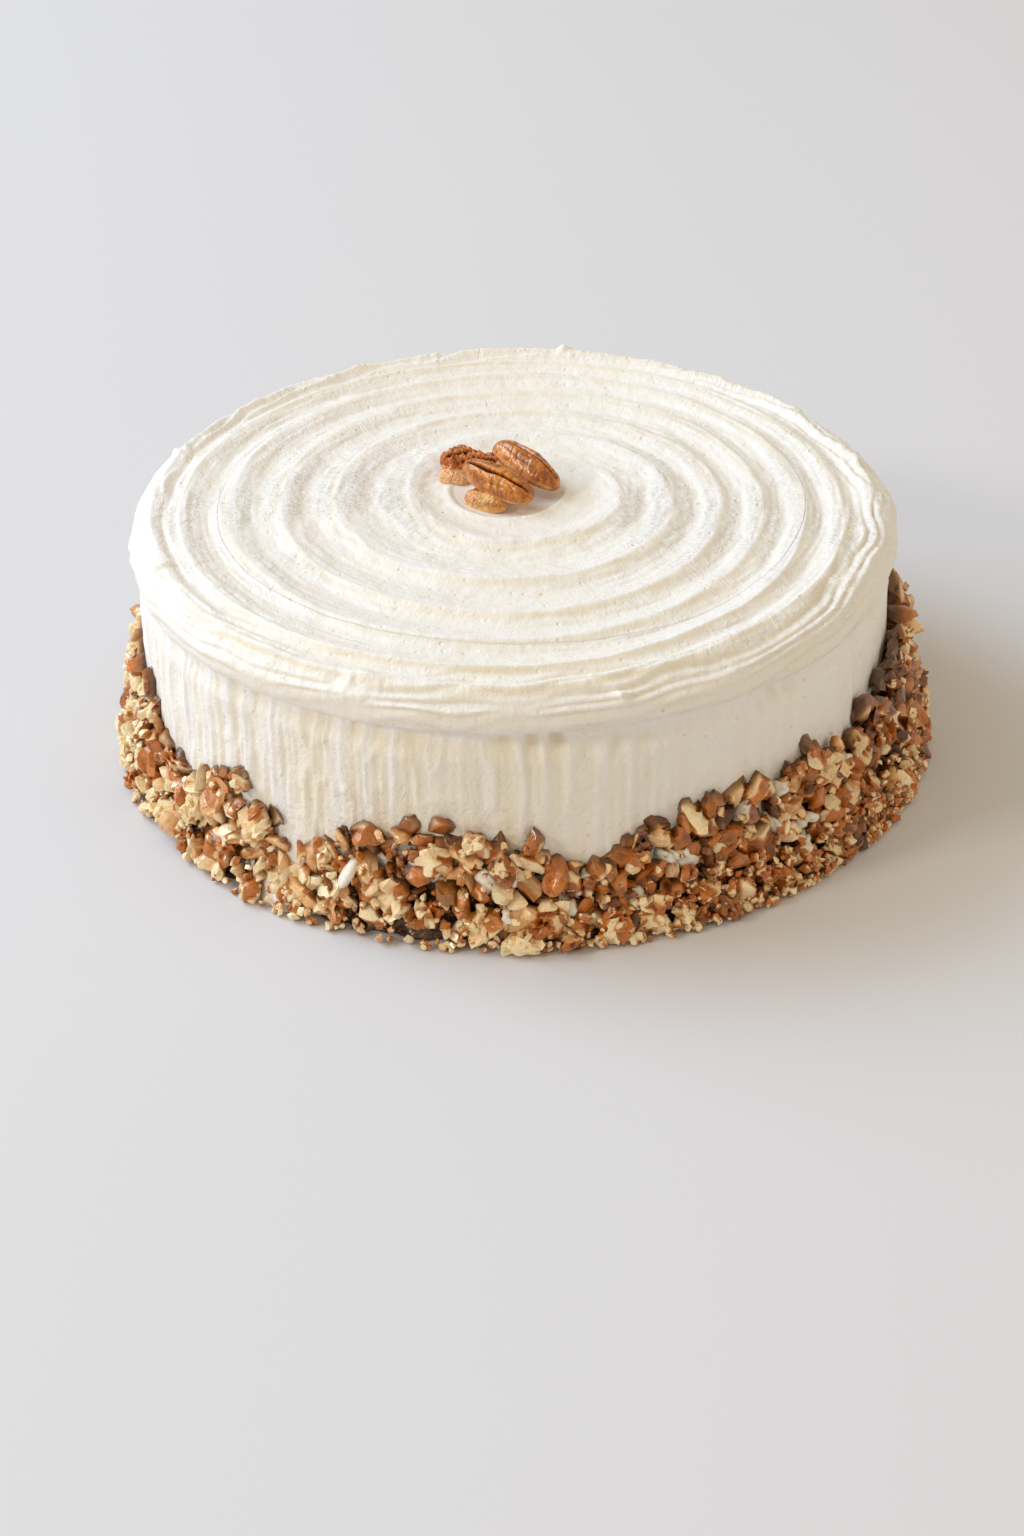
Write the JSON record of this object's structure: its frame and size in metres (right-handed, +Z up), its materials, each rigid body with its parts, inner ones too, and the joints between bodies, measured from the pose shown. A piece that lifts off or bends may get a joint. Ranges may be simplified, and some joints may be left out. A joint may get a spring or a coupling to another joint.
{
  "type": "hummingbird cake",
  "caption": "Whole round cake under cream-cheese frosting with a combed spiral top, a pecan cluster in the middle and a border of chopped nuts round its foot.",
  "frame": {"origin": "middle of the cake's flat underside", "axes": "+Z up along the cake's own axis; -Y is the front, the side that faces the viewer; +X is the viewer's right"},
  "size_m": [0.2521, 0.2527, 0.0882],
  "materials": {
    "frosting": "soft satin cream-cheese frosting, ivory white",
    "chopped_nuts": "chopped pecan and walnut, ivory cut faces and brown skins, lightly glossy",
    "pecan_skin": "satin golden-brown pecan skin",
    "pecan_inside": "rough reddish-brown inner face of a broken pecan",
    "pecan_pale": "glossy pale honey-coloured pecan piece"
  },
  "bodies": {
    "root": {"frosted_cake": "frosting", "nut_border": "chopped_nuts", "pecan_front": "pecan_skin", "pecan_right": "pecan_skin", "pecan_left": "pecan_inside", "pecan_chip": "pecan_pale"}
  },
  "joints": []
}
